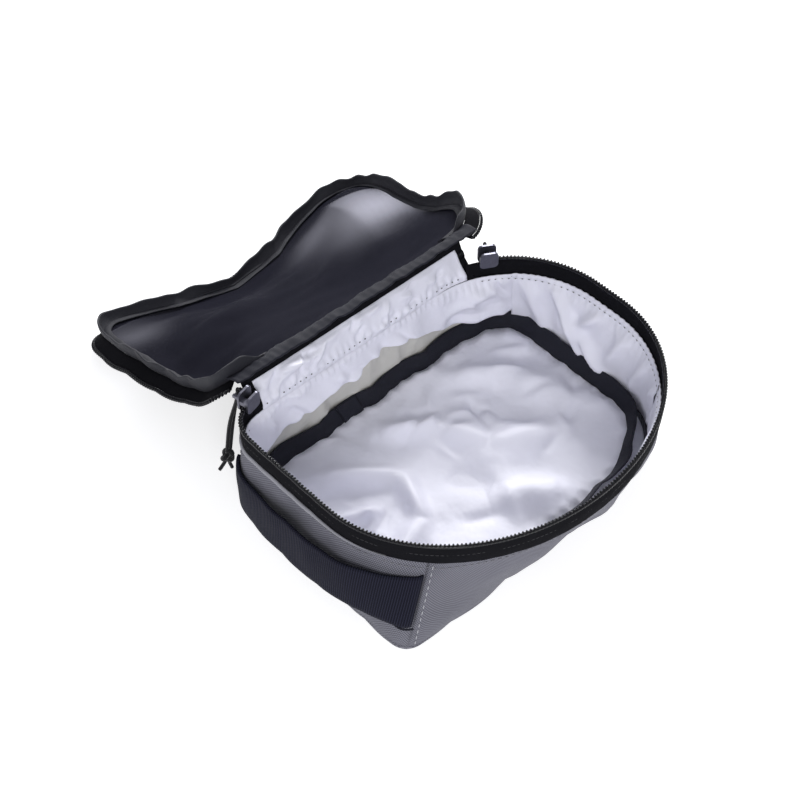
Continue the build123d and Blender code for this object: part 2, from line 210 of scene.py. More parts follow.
def mesh_piece(name, points, faces, material, uv=None, flat=False):
    """A mesh object from points in millimetres."""
    mesh = bpy.data.meshes.new(name)
    mesh.from_pydata((np.asarray(points) * MM).tolist(), [], faces)
    if uv is not None:
        layer = mesh.uv_layers.new(name="cloth")
        corner = np.zeros(len(mesh.loops), int)
        mesh.loops.foreach_get("vertex_index", corner)
        layer.data.foreach_set("uv", np.asarray(uv)[corner].astype(np.float32).ravel())
    mesh.polygons.foreach_set("use_smooth", [not flat] * len(mesh.polygons))
    mesh.materials.append(material)
    mesh.update()
    piece = bpy.data.objects.new(name, mesh)
    bpy.context.scene.collection.objects.link(piece)
    return piece


def stand_for(piece, slot, *nodes):
    """The piece is shown in place of the CAD nodes, which are hidden."""
    if nodes:
        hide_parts(*nodes)
    return piece


def place(piece, slot, *nodes, body="pouch"):
    """The piece rides on a body, and stands for the CAD nodes."""
    return stand_for(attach(piece, body), slot, *nodes)


def grid_normals(grid, closed):
    """Unit normals of a grid of points."""
    if closed:
        du = np.roll(grid, -1, 0) - np.roll(grid, 1, 0)
    else:
        du = np.gradient(grid, axis=0)
    return unit(np.cross(du, np.gradient(grid, axis=1)))


def sheet(name, grid, thickness, material, closed=False, cap=False, normals=None):
    """A closed skin of cloth: the grid is its front, and its back lies one thickness behind.

    closed joins the last row to the first. cap closes the last column with one face, front and back.
    """
    nu, nv = grid.shape[:2]
    normals = grid_normals(grid, closed) if normals is None else normals
    front = np.arange(nu * nv).reshape(nu, nv)
    back = front + nu * nv
    points = np.concatenate([grid.reshape(-1, 3), (grid - normals * thickness).reshape(-1, 3)])
    rows = range(nu) if closed else range(nu - 1)
    faces = []
    for i in rows:
        n = (i + 1) % nu
        for j in range(nv - 1):
            faces.append((front[i, j], front[n, j], front[n, j + 1], front[i, j + 1]))
            faces.append((back[i, j], back[i, j + 1], back[n, j + 1], back[n, j]))
        faces.append((front[i, 0], back[i, 0], back[n, 0], front[n, 0]))
        if not cap:
            faces.append((front[i, -1], front[n, -1], back[n, -1], back[i, -1]))
    if cap:
        faces.append(tuple(front[:, -1]))
        faces.append(tuple(back[::-1, -1]))
    if not closed:
        for j in range(nv - 1):
            faces.append((front[0, j], front[0, j + 1], back[0, j + 1], back[0, j]))
            faces.append((front[-1, j], back[-1, j], back[-1, j + 1], front[-1, j + 1]))
    u = along(grid[:, nv // 2])[:, None] * np.ones(nv)
    v = np.ones(nu)[:, None] * along(grid[nu // 2])[None, :]
    if cap:
        u, v = grid[..., 0], grid[..., 1]
    uv = np.stack([u, v], -1).reshape(-1, 2)
    faces = [tuple(int(k) for k in face) for face in faces]
    return mesh_piece(name, points, faces, material, uv=np.concatenate([uv, uv]))


def sausage(length, width, depth, around=8, rings=5):
    """Points and faces of a rounded bead along local x."""
    points, faces = [], []
    for ring in range(rings):
        t = -math.pi / 2 + math.pi * (ring + 0.5) / rings
        for step in range(around):
            a = TURN * step / around
            r = math.cos(t) ** 0.7
            across, up = width / 2 * r * math.cos(a), depth / 2 * r * math.sin(a)
            points.append((length / 2 * math.sin(t), across, up))
    for ring in range(rings - 1):
        for step in range(around):
            n = (step + 1) % around
            faces.append((ring * around + step, ring * around + n, (ring + 1) * around + n,
                          (ring + 1) * around + step))
    faces.append(tuple(range(around))[::-1])
    faces.append(tuple(range((rings - 1) * around, rings * around)))
    return np.array(points), faces


def repeat(name, template, places, x_axes, y_axes, material):
    """One mesh that holds a copy of the template at each place, turned to the axes given there."""
    shape, faces = template
    x_axes, y_axes = unit(x_axes), unit(y_axes)
    z_axes = unit(np.cross(x_axes, y_axes))
    y_axes = np.cross(z_axes, x_axes)
    points, all_faces = [], []
    for place, x, y, z in zip(places, x_axes, y_axes, z_axes):
        start = len(points) * len(shape)
        points.append(place + shape[:, :1] * x + shape[:, 1:2] * y + shape[:, 2:] * z)
        all_faces += [tuple(start + k for k in face) for face in faces]
    return mesh_piece(name, np.concatenate(points), all_faces, material)


def spaced(points, pitch):
    """Places at an even pitch along a line of points, and the directions there."""
    run = along(points)
    count = max(2, int(run[-1] / pitch))
    at = (np.arange(count) + 0.5) * run[-1] / count
    places = np.stack([np.interp(at, run, points[:, k]) for k in range(3)], 1)
    ahead = np.stack([np.interp(at + 0.2, run, points[:, k]) for k in range(3)], 1)
    behind = np.stack([np.interp(at - 0.2, run, points[:, k]) for k in range(3)], 1)
    return places, unit(ahead - behind), at / run[-1]


STITCH_DEPTH = 0.45


def stitches(name, points, outward, material, pitch, long, wide):
    """A row of thread stitches lying on a line of points; outward is the cloth's normal along it."""
    places, ahead, share = spaced(points, pitch)
    run = along(points) / along(points)[-1]
    facing = np.stack([np.interp(share, run, outward[:, k]) for k in range(3)], 1)
    thread = sausage(long, wide, STITCH_DEPTH, 6, 4)
    return repeat(name, thread, places, ahead, np.cross(facing, ahead), material)


def tube(name, points, radius, material, around=10):
    """A round cord along a line of points."""
    ahead = unit(np.gradient(points, axis=0))
    side = np.zeros_like(points)
    side[0] = unit(np.cross(ahead[0], (0.3, 0.2, 1.0)))
    for i in range(1, len(points)):
        side[i] = unit(side[i - 1] - ahead[i] * np.dot(side[i - 1], ahead[i]))
    up = np.cross(ahead, side)
    angle = np.arange(around) * TURN / around
    rings = points[:, None] + radius * (np.cos(angle)[None, :, None] * side[:, None]
                                        + np.sin(angle)[None, :, None] * up[:, None])
    faces = []
    for i in range(len(points) - 1):
        for j in range(around):
            n = (j + 1) % around
            faces.append((i * around + j, i * around + n, (i + 1) * around + n, (i + 1) * around + j))
    faces.append(tuple(range(around))[::-1])
    faces.append(tuple(range((len(points) - 1) * around, len(points) * around)))
    run = along(points)
    uv = np.stack([run[:, None] * np.ones(around), np.ones(len(points))[:, None] * angle * radius], -1)
    return mesh_piece(name, rings.reshape(-1, 3), faces, material, uv=uv.reshape(-1, 2))


def curve_through(stops, count=80):
    """A smooth line through the stops (Catmull-Rom)."""
    stops = np.array(stops, float)
    padded = np.concatenate([[2 * stops[0] - stops[1]], stops, [2 * stops[-1] - stops[-2]]])
    out = []
    for t in np.linspace(0, len(stops) - 1 - 1e-9, count):
        i, f = int(t), t - int(t)
        a, b, c, d = padded[i:i + 4]
        out.append(0.5 * (2 * b + (c - a) * f + (2 * a - 5 * b + 4 * c - d) * f * f
                          + (3 * b - a - 3 * c + d) * f ** 3))
    return np.array(out)


# ---------------------------------------------------------------- materials

class Nodes:
    """Small helper for writing node trees."""

    def __init__(self, name):
        self.material = bpy.data.materials.new(name)
        self.material.use_nodes = True
        self.tree = self.material.node_tree
        self.shader = self.tree.nodes["Principled BSDF"]
        self.output = self.tree.nodes["Material Output"]

    def put(self, kind, **values):
        node = self.tree.nodes.new(kind)
        for key, value in values.items():
            if hasattr(node, key):
                setattr(node, key, value)
            else:
                node.inputs[key.replace("_", " ")].default_value = value
        return node

    def link(self, a, b):
        self.tree.links.new(a, b)

    def math(self, operation, a, b=0.0):
        node = self.put("ShaderNodeMath", operation=operation)
        for socket, value in zip(node.inputs, (a, b)):
            if isinstance(value, (int, float)):
                socket.default_value = value
            else:
                self.link(value, socket)
        return node.outputs[0]

    def mix(self, share, a, b):
        """A colour between a and b."""
        node = self.put("ShaderNodeMix", data_type="RGBA")
        for socket, value in ((node.inputs[0], share), (node.inputs[6], a), (node.inputs[7], b)):
            if hasattr(value, "links"):
                self.link(value, socket)
            elif isinstance(value, (int, float)):
                socket.default_value = value
            else:
                socket.default_value = (*value, 1)
        return node.outputs[2]

    def cloth_axes(self, across, along_):
        """Phases in radians of a pattern with the given pitches, in millimetres of cloth."""
        uv = self.put("ShaderNodeUVMap", uv_map="cloth")
        split = self.put("ShaderNodeSeparateXYZ")
        self.link(uv.outputs[0], split.inputs[0])
        return (self.math("MULTIPLY", split.outputs[0], TURN / across),
                self.math("MULTIPLY", split.outputs[1], TURN / along_))

    def noise(self, scale, detail=3.0):
        """Noise in object space; scale is in cells per metre."""
        place = self.put("ShaderNodeTexCoord")
        node = self.put("ShaderNodeTexNoise", Scale=scale, Detail=detail)
        self.link(place.outputs["Object"], node.inputs["Vector"])
        return node.outputs["Fac"]

    def finish(self, **values):
        """Fixed inputs of the shader, named with _ for each space."""
        for key, value in values.items():
            self.shader.inputs[key.replace("_", " ")].default_value = value

    def bump(self, height, distance):
        node = self.put("ShaderNodeBump", Strength=1.0, Distance=distance)
        self.link(height, node.inputs["Height"])
        self.link(node.outputs[0], self.shader.inputs["Normal"])


def woven(name, dark, light, pitch=1.1, rough=0.8, sheen=0.3, depth=0.00012, kind="plain", patches=0.15,
          gloss=0.18):
    """Woven cloth: threads over and under, with painted highlight that makes their crowns lighter, and faint
    uneven patches.
    """
    n = Nodes(name)
    u, v = n.cloth_axes(pitch, pitch)
    if kind == "plain":
        crowns = n.math("MULTIPLY", n.math("SINE", u), n.math("SINE", v))
    elif kind == "rib":
        ribs = n.math("SINE", u)
        picks = n.math("ADD", n.math("MULTIPLY", n.math("SINE", v), 0.35), 0.75)
        crowns = n.math("MULTIPLY", ribs, picks)
    else:
        crowns = n.math("SINE", n.math("ADD", u, v))
    crowns = n.math("ADD", n.math("MULTIPLY", crowns, 0.5), 0.5)
    # painted highlight: the colour runs from dark to light towards the thread crowns, where the bump is
    # highest
    base = n.mix(crowns, dark, light)
    shade = n.math("ADD", n.math("MULTIPLY", n.noise(35.0), 2 * patches), 1 - patches)
    tone = n.put("ShaderNodeHueSaturation")
    n.link(base, tone.inputs["Color"])
    n.link(shade, tone.inputs["Value"])
    n.link(tone.outputs[0], n.shader.inputs["Base Color"])
    n.finish(Roughness=rough, Sheen_Weight=sheen, Sheen_Roughness=0.4, Specular_IOR_Level=gloss)
    fine = n.math("MULTIPLY", n.noise(2500.0), 0.35)
    n.bump(n.math("ADD", crowns, fine), depth)
    return n.material


def lining_cloth(name, colour, rough=0.38):
    """Slippery nylon lining: fine even weave, soft gloss and faint crumples."""
    n = Nodes(name)
    u, v = n.cloth_axes(0.5, 0.5)
    crowns = n.math("MULTIPLY", n.math("SINE", u), n.math("SINE", v))
    shade = n.math("ADD", n.math("MULTIPLY", n.noise(60.0), 0.08), 0.96)
    tone = n.put("ShaderNodeHueSaturation", Color=(*colour, 1))
    n.link(shade, tone.inputs["Value"])
    n.link(tone.outputs[0], n.shader.inputs["Base Color"])
    n.finish(Roughness=rough, Sheen_Weight=0.05, Specular_IOR_Level=0.55)
    crumple = n.math("MULTIPLY", n.noise(90.0, 2.0), 9.0)
    n.bump(n.math("ADD", n.math("MULTIPLY", crowns, 0.35), crumple), 0.00010)
    return n.material


def sheer_mesh(name):
    """Fine knitted mesh: part thread, part hole, the threads lighter on their crowns as painted highlight.
    An attribute says how much shows through; it holds the mesh's own openness and patches of painted light
    and shade.
    """
    n = Nodes(name)
    u, v = n.cloth_axes(0.9, 0.9)
    threads = n.math("MULTIPLY", n.math("SINE", u), n.math("SINE", v))
    crowns = n.math("ADD", n.math("MULTIPLY", threads, 0.5), 0.5)
    # painted highlight: the threads are lighter on their crowns
    colour = n.mix(crowns, (0.004, 0.004, 0.007), (0.022, 0.022, 0.034))
    n.link(colour, n.shader.inputs["Base Color"])
    n.finish(Roughness=0.8, Sheen_Weight=0.01, Specular_IOR_Level=0.03, Sheen_Tint=(0.62, 0.62, 1.0, 1))
    # see-through share: the mesh's openness plus patches of painted light and shade
    hole = n.put("ShaderNodeAttribute", attribute_name="see_through_and_light")
    grain = n.math("MULTIPLY", threads, 0.08)
    open_share = n.math("ADD", hole.outputs["Fac"], grain)
    clear = n.put("ShaderNodeBsdfTransparent", Color=(0.93, 0.93, 1.0, 1))
    blend = n.put("ShaderNodeMixShader")
    n.link(open_share, blend.inputs[0])
    n.link(n.shader.outputs[0], blend.inputs[1])
    n.link(clear.outputs[0], blend.inputs[2])
    n.link(blend.outputs[0], n.output.inputs["Surface"])
    n.bump(threads, 0.00008)
    return n.material


def hard(name, colour, rough, metal=0.0, grain=900.0, depth=0.00002, spread=0.25, gloss=0.5):
    """Painted metal or moulded nylon: faint orange peel and uneven gloss."""
    n = Nodes(name)
    speck = n.noise(grain)
    base = n.mix(speck, tuple(c * (1 - spread) for c in colour), tuple(c * (1 + spread) for c in colour))
    n.link(base, n.shader.inputs["Base Color"])
    n.finish(Metallic=metal, Specular_IOR_Level=gloss)
    wear = n.math("MULTIPLY", n.noise(140.0), 0.16)
    n.link(n.math("ADD", wear, rough - 0.08), n.shader.inputs["Roughness"])
    n.bump(speck, depth)
    return n.material


# In each woven cloth here the second colour is the painted highlight on the thread crowns.
CHARCOAL = woven("charcoal_oxford", (0.038, 0.038, 0.052), (0.25, 0.25, 0.29), pitch=1.35, rough=0.75,
                 sheen=0.06)
EDGE_GREY = woven("seam_edge_grey", (0.16, 0.16, 0.18), (0.36, 0.36, 0.40), pitch=1.0, kind="twill")
WEBBING = woven("webbing", (0.001, 0.001, 0.004), (0.022, 0.023, 0.042), pitch=1.25, kind="rib", rough=0.75,
                sheen=0.02, depth=0.00030, gloss=0.10)
TAPE = woven("zip_tape_knit", (0.002, 0.002, 0.003), (0.014, 0.014, 0.017), pitch=0.8, rough=0.85,
             sheen=0.0, gloss=0.04)
BINDING = woven("binding_tape", (0.003, 0.003, 0.006), (0.026, 0.027, 0.040), pitch=0.7, rough=0.6,
                sheen=0.02, gloss=0.16)
BORDER = woven("lid_border_tape", (0.006, 0.006, 0.009), (0.042, 0.043, 0.054), pitch=0.7, rough=0.55,
               sheen=0.03, gloss=0.25)
LINING = lining_cloth("silver_lining", (0.81, 0.81, 0.90))
BACKING = lining_cloth("lining_backing", (0.60, 0.59, 0.55), rough=0.6)
MESH = sheer_mesh("lid_mesh_cloth")
COIL = hard("coil_nylon", (0.003, 0.003, 0.005), 0.18, grain=1500.0, gloss=0.3)
METAL = hard("slider_gunmetal", (0.13, 0.13, 0.16), 0.36, metal=0.85)
CORD = woven("braided_cord", (0.002, 0.002, 0.003), (0.016, 0.016, 0.019), pitch=0.9, rough=0.75,
             kind="twill")
GREY_THREAD = hard("grey_thread", (0.42, 0.42, 0.45), 0.7, grain=4000.0)
DULL_THREAD = hard("dull_thread", (0.20, 0.20, 0.22), 0.8, grain=4000.0)
WHITE_THREAD = hard("white_thread", (0.72, 0.72, 0.76), 0.6, grain=4000.0)
HOLE = hard("needle_hole", (0.05, 0.05, 0.06), 0.9)
BLACK_THREAD = hard("black_thread", (0.012, 0.012, 0.015), 0.65, grain=4000.0)


# ---------------------------------------------------------------- pouch walls and base

WALL_FOOT = box("front_panel")[0][2]
WALL_STEP = 1.5
OUTER_SKIN = 0.9
TUCK = 4.0  # the wall curves in under the pouch over this height
SEAM_SWING = -0.045  # radians


def foot_turn(angles):
    """Near its foot the front left seam swings round to the base's sharp corner."""
    return angles + SEAM_SWING * np.exp(-(((angles - FRONT_LEFT) / 0.35) ** 2))


def rim_outward(angles):
    """Unit vectors that point out from the rim, square to it."""
    ahead = unit(np.gradient(RIM.at(angles), axis=0))
    return np.stack([ahead[:, 1], -ahead[:, 0]], -1)[:, None]


def wall_grid(angles, heights, inset, bulge):
    """Points of a wall between the base and rim outlines; bulge pushes it outwards, in millimetres."""
    heights = np.atleast_2d(heights)
    share = ((heights - WALL_FOOT) / (WALL_TOP - WALL_FOOT))[..., None]
    foot, head = BASE.at(foot_turn(angles), inset)[:, None], RIM.at(angles, inset)[:, None]
    flat = foot + (head - foot) * share
    outward = rim_outward(angles)
    flat = flat + outward * np.asarray(bulge)[..., None]
    z = np.broadcast_to(heights[..., None], flat.shape[:2] + (1,))
    return np.concatenate([flat, z], -1)


def outer_bulge(angles, heights):
    """How far the outer fabric stands off its straight cut."""
    run = along(RIM.at(angles))[:, None] + angles[0] * 100
    z = np.atleast_2d(heights)
    share = np.clip((z - WALL_FOOT) / (WALL_TOP - WALL_FOOT), 0, 1)
    belly = 1.6 * np.sin(math.pi * share)
    tuck = -0.6 * (1 - smooth((z - WALL_FOOT) / TUCK))
    loose = ripples(run, z, 3, 48, 0.8) * np.sin(math.pi * share) + ripples(run, z, 4, 17, 0.22)
    seam = 0.0
    for corner in (BACK_LEFT, FRONT_LEFT, FRONT_RIGHT, BACK_RIGHT, FRONT_LEFT + TURN, BACK_LEFT + TURN):
        seam = seam - 1.0 * np.exp(-(((angles[:, None] - corner) / 0.020) ** 2))
    return belly + tuck + loose + seam * smooth(share * 4)


def wall_panel(name, start, end, folds=()):
    """One outer panel between two corner seams."""
    angles = RIM.stations(start, end, WALL_STEP)
    heights = np.linspace(WALL_FOOT - 1.0, WALL_TOP, 34)
    bulge = outer_bulge(angles, heights)
    run = along(RIM.at(angles))[:, None]
    for fold in folds:
        bulge = bulge + crease(run, heights[None, :], *fold)
    piece = sheet(name + "_cloth", wall_grid(angles, heights, 0.4, bulge), OUTER_SKIN, CHARCOAL)
    place(piece, "outer_fabric", name)


HANDLE_END_FOLDS = (
    ((20, 12), (60, 40), 8, -1.6),
    ((70, 8), (96, 26), 7, 0.4),
)
BACK_FOLDS = (
    ((40, 8), (60, 40), 10, 1.5),
    ((110, 10), (124, 40), 9, -1.4),
)
FRONT_FOLDS = (
    ((118, 6), (96, 44), 7, 2.4),
    ((92, 4), (110, 30), 5, -1.8),
    ((40, 8), (66, 40), 9, 1.3),
)
wall_panel("handle_end_panel", BACK_LEFT, FRONT_LEFT, HANDLE_END_FOLDS)
wall_panel("front_panel", FRONT_LEFT, FRONT_RIGHT, FRONT_FOLDS)
wall_panel("far_end_panel", FRONT_RIGHT, BACK_RIGHT + TURN, (((30, 8), (44, 42), 8, 1.6),))
wall_panel("back_panel", BACK_RIGHT, BACK_LEFT, BACK_FOLDS)


def dish(name, outline, inset, height_at, thickness, material, rings=46, step=2.2, core=0.03):
    """A sheet over an outline, from its edge to the middle."""
    angles = outline.stations(0.0, TURN, step)[:-1]
    edge = outline.at(angles, inset)
    share = np.linspace(1, core, rings)[None, :, None]
    flat = outline.centre + (edge[:, None] - outline.centre) * share
    z = height_at(flat[..., 0], flat[..., 1], np.broadcast_to(share[..., 0], flat.shape[:2]))
    grid = np.concatenate([flat, z[..., None]], -1)
    return sheet(name, grid, thickness, material, closed=True, cap=True)


def base_height(x, y, share):
    """Underside fabric: flat where it rests, turned up a little at its edge."""
    lift = 0.5 * smooth((share - 0.9) / 0.1)
    return 1.2 + lift + 0.15 * ripples(x, y, 5, 40, 1.0)


base_cloth = dish("base_cloth", BASE, 1.0, base_height, 1.0, CHARCOAL, rings=20, step=1.4)
place(base_cloth, "outer_fabric", "base_panel")


# ---------------------------------------------------------------- seams and topstitching on the outside

def wall_line(angles, heights, inset=0.0, lift=0.25):
    """A line on the outer fabric, and the outward normals along it."""
    angles, heights = np.broadcast_arrays(np.asarray(angles, float), np.asarray(heights, float))
    share = ((heights - WALL_FOOT) / (WALL_TOP - WALL_FOOT))[:, None]
    flat = BASE.at(foot_turn(angles), inset) * (1 - share) + RIM.at(angles, inset) * share
    turn = np.stack([np.cos(angles), np.sin(angles)], -1)
    bulge = np.array([outer_bulge(np.array([a, a + 0.001]), np.array([h, h + 0.01]))[0, 0]
                      for a, h in zip(angles, heights)])
    flat = flat + turn * (bulge + lift - 0.4)[:, None]
    normal = np.concatenate([turn, np.zeros((len(turn), 1))], -1)
    return np.concatenate([flat, heights[:, None]], -1), normal


SEAM_TOP = WALL_TOP - 0.5
TOPSTITCH_DROP = 3.2
TOPSTITCH_ASIDE = 0.026  # radians beside the corner seam


def corner_stitching():
    """Topstitching beside each corner seam and under the zip tape."""
    rise = np.linspace(WALL_FOOT + 1.5, SEAM_TOP - 1, 30)
    corners = (("front_left", FRONT_LEFT, 1), ("front_right", FRONT_RIGHT, -1),
               ("back_left", BACK_LEFT, -1), ("back_right", BACK_RIGHT, 1))
    for name, corner, side in corners:
        points, normals = wall_line(np.full(30, corner + side * TOPSTITCH_ASIDE), rise)
        row = stitches(f"topstitch_{name}", points, normals, GREY_THREAD, pitch=3.3, long=2.2, wide=0.55)
        place(row, "outer_fabric")
    angles = RIM.stations(CHAIN_START, CHAIN_END, 3.0)
    points, normals = wall_line(angles, np.full(len(angles), WALL_TOP - TOPSTITCH_DROP))
    row = stitches("topstitch_rim", points, normals, DULL_THREAD, pitch=3.4, long=2.1, wide=0.45)
    place(row, "outer_fabric")


corner_stitching()


def seam_fold():
    """The folded fabric edge that shows grey under the zip tape round the handle end."""
    angles = RIM.stations(CHAIN_START + 0.02, FRONT_LEFT - 0.2, 2.0)
    grey = smooth((FRONT_LEFT - 0.2 - angles) / 0.55) * smooth((angles - CHAIN_START - 0.02) / 0.1)
    drop = (0.6 + 2.7 * grey)[:, None]
    heights = WALL_TOP + 0.4 - np.linspace(0, 1, 6)[None, :] * drop
    outward = rim_outward(angles)
    stand = 0.5 + (0.4 + 0.4 * grey[:, None]) * np.sin(np.linspace(0, math.pi, 6))[None, :]
    flat = RIM.at(angles)[:, None] + outward * stand[..., None]
    grid = np.concatenate([flat, heights[..., None]], -1)
    place(sheet("rim_seam_fold", grid[:, ::-1], 0.7, EDGE_GREY), "outer_fabric")


seam_fold()


# ---------------------------------------------------------------- lining

LINING_TOP = STRIP_FOOT[2]
LINING_SKIN = 0.45
LINING_INSET = 1.9


def lining_panel(name, start, end, low, high, folds, material=LINING, inset=LINING_INSET, stand=1.4, seed=0):
    """One panel of wall lining: stands a little inside the outer wall, in loose folds."""
    angles = RIM.stations(start, end, 1.3)
    heights = np.linspace(low, high, 34)
    run = along(RIM.at(angles))[:, None]
    z = heights[None, :]
    share = (z - low) / (high - low)
    slack = smooth(share * 4) * smooth((1 - share) * 4)
    inward = stand * slack + 0.5 * ripples(run, z, 20 + seed, 26, 1.0, 0.6) * slack
    span = (run.max(), high - low)
    inward = inward + wrinkles(run, z - low, 30 + seed, 22, 1.8, 26, span, 1.2, 0.9) * slack
    pucker = 0.35 * np.sin(run * TURN / 4.2 + 2.0 * ripples(run, 0, 40 + seed, 30, 0.5))
    inward = inward + pucker * smooth((share - 0.72) * 4)
    for fold in folds:
        inward = inward + crease(run, z, *fold) * smooth((1 - share) * 7) * smooth(share * 4)
    inward = np.maximum(inward, -0.2)
    piece = sheet(name, wall_grid(angles, heights, inset, -inward)[::-1], LINING_SKIN, material)
    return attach(piece, "pouch")


LINING_FOOT = box("front_lining")[0][2]
FRONT_LINING_FOLDS = (((40, 40), (60, 10), 5, 3), ((100, 40), (120, 12), 6, 3))
END_LINING_FOLDS = (((30, 42), (50, 8), 5, 3), ((84, 40), (76, 8), 5, 3))
FAR_FOLDS = (
    ((96, 45), (66, 8), 3.6, 6.5),
    ((62, 42), (76, 26), 3.4, 5.5),
    ((76, 26), (44, 6), 3.6, 6.0),
    ((40, 42), (52, 14), 4.6, 4.5),
    ((112, 42), (98, 10), 4.0, 4.5),
    ((20, 40), (30, 12), 4.0, 4.0),
)
stand_for(lining_panel("far_end_lining_cloth", FRONT_RIGHT, BACK_RIGHT + TURN, LINING_FOOT, LINING_TOP + 0.5,
                       FAR_FOLDS, seed=1), "lining", "far_end_lining")
stand_for(lining_panel("front_lining_cloth", FRONT_LEFT, FRONT_RIGHT, LINING_FOOT, LINING_TOP + 0.5,
                       FRONT_LINING_FOLDS, seed=2), "lining", "front_lining")
stand_for(lining_panel("handle_end_lining_cloth", BACK_LEFT, FRONT_LEFT, LINING_FOOT, LINING_TOP + 0.5,
                       END_LINING_FOLDS, seed=3), "lining", "handle_end_lining")
stand_for(lining_panel("back_lining_lower_cloth", BACK_RIGHT, BACK_LEFT, LINING_FOOT, 34, (), BACKING,
                       LINING_INSET, 0.6, seed=4), "lining_backing", "back_lining_lower")


def back_flap():
    """The loose layer along the back: sewn at the hinge seam, free along its lower edge."""
    angles = RIM.stations(BACK_RIGHT - 0.03, BACK_LEFT + 0.05, 1.3)
    run = along(RIM.at(angles))
    length = run[-1]
    part = run / length
    foot = 15.5 + 20 * np.exp(-(((part - 0.42) / np.where(part < 0.42, 0.18, 0.50)) ** 2))
    foot = foot + 0.8 * np.sin(run * TURN / 42) + 0.25 * np.sin(run * TURN / 17 + 1)
    share = np.linspace(0, 1, 34)[None, :]
    z = foot[:, None] + (LINING_TOP - foot[:, None]) * share
    u = run[:, None]
    hang = 5.0 * (1 - share) ** 1.1 * (0.75 + 0.25 * np.sin(u * TURN / 60 + 0.6))
    loose = ripples(u, z, 51, 24, 1.1) + wrinkles(u, z - 20, 52, 22, 2.6, 40, (length, 28), 0.7, 0.8)
    loose = loose * smooth((1 - share) * 5)
    pucker = 0.6 * np.sin(u * TURN / 4.0) * smooth((share - 0.6) * 3)
    inward = 1.2 + hang + loose + pucker
    inward = inward + crease(u, z, (10, 40), (44, 30), 4.5, 4.5) + crease(u, z, (6, 30), (34, 44), 4, 2.5)
    inward = inward * smooth((1 - share) * 6 + 0.15) * smooth(u / 9) * smooth((length - u) / 9)
    outward = rim_outward(angles)
    height = (z - WALL_FOOT) / (WALL_TOP - WALL_FOOT)
    height = height[..., None]
    flat = BASE.at(angles, 2.6)[:, None] * (1 - height) + RIM.at(angles, 2.0)[:, None] * height
    flat = flat - outward * inward[..., None]
    grid = np.concatenate([flat, z[..., None]], -1)
    piece = sheet("back_lining_flap_cloth", grid[::-1], LINING_SKIN, LINING)
    place(piece, "lining", "back_lining_flap")


back_flap()

FLOOR_Z = box("base_lining")[1][2]
FLOOR_CREASES = (
    ((-66, 46), (-34, 20), 6, 7.0),
    ((-34, 20), (-46, -8), 5, 7.5),
    ((-46, -8), (-70, -16), 6, 5.0),
    ((-84, 26), (-56, 8), 5, 4.5),
    ((-24, 50), (2, 32), 6, 6.5),
    ((2, 32), (14, 6), 7, 7.0),
    ((14, 6), (44, -10), 8, 5.5),
    ((-12, -20), (20, -40), 9, 5.0),
    ((34, 52), (60, 30), 7, 6.0),
    ((60, 30), (66, 2), 8, 4.5),
    ((-14, 8), (-2, -14), 8, -4.0),
    ((30, 22), (50, 8), 8, -4.0),
)


def floor_height(x, y, share):
    """Floor lining: broad soft folds, drawn down at its sewn edge."""
    slack = smooth((1 - share) * 7)
    lift = 3.6 + ripples(x, y, 60, 46, 1.4) + ripples(x, y, 61, 22, 0.35)
    for fold in FLOOR_CREASES:
        lift = lift + crease(x, y, *fold)
    lift = lift + wrinkles(x + 90, y + 60, 62, 30, 2.6, 44, (180, 120))
    turn = np.arctan2(y - CENTRE[1], x - CENTRE[0])
    pucker = 0.7 * np.sin(turn * 46) * smooth(share * 9 - 7.4) * (1 - smooth((share - 0.95) * 16))
    return FLOOR_Z + 0.3 + np.maximum(lift, 0.2) * slack + np.maximum(pucker, -0.2)


floor_cloth = dish("base_lining_cloth", BASE, 4.5, floor_height, LINING_SKIN, LINING, rings=70, step=1.9)
place(floor_cloth, "lining", "base_lining")


# ---------------------------------------------------------------- binding round the inner bottom seam

BINDING_RISE = 9.6
BINDING_SKIN = 0.9


def bottom_binding():
    """Black tape folded over the bottom seam: leans against the wall, with a lapped join at the back."""
    angles = BASE.stations(0.0, TURN, 1.6)[:-1]
    run = along(BASE.at(angles))[:, None]
    share = np.linspace(0, 1, 9)[None, :]
    wave = 0.5 * ripples(run, 0, 70, 26, 1.0) + 0.35 * ripples(run, 0, 71, 9, 1.0)
    inset = 9.2 - 5.0 * share + wave * share * 0.6 + 0.6 * np.sin(math.pi * share)
    inset = inset + 6.5 * np.exp(-(((angles[:, None] - math.radians(327)) / 0.2) ** 2))
    z = FLOOR_Z + 1.4 + BINDING_RISE * share ** 0.9 + 0.4 * ripples(run, 0, 72, 40, 1.0) * share
    insets = np.linspace(0, 18, 19)
    reach = np.stack([BASE.at(angles, float(i)) for i in insets], 1)
    flat = np.empty(inset.shape + (2,))
    for k in range(2):
        for i in range(len(angles)):
            flat[i, :, k] = np.interp(inset[i], insets, reach[i, :, k])
    grid = np.concatenate([flat, np.broadcast_to(z, inset.shape)[..., None]], -1)
    piece = sheet("base_seam_binding_tape", grid[:, ::-1], BINDING_SKIN, BINDING, closed=True)
    place(piece, "binding", "base_seam_binding")
    lap = (angles > math.radians(104)) & (angles < math.radians(115))
    part = grid[lap] + np.array([0, 0, 0.35]) - np.array([0, 0.9, 0])
    place(sheet("base_seam_binding_lap", part[:, ::-1], BINDING_SKIN, BINDING), "binding")


bottom_binding()


# ---------------------------------------------------------------- zip round the rim

CHAIN_INSET = 0.4
TAPE_SKIN = 0.8
TOOTH_PITCH = 1.95


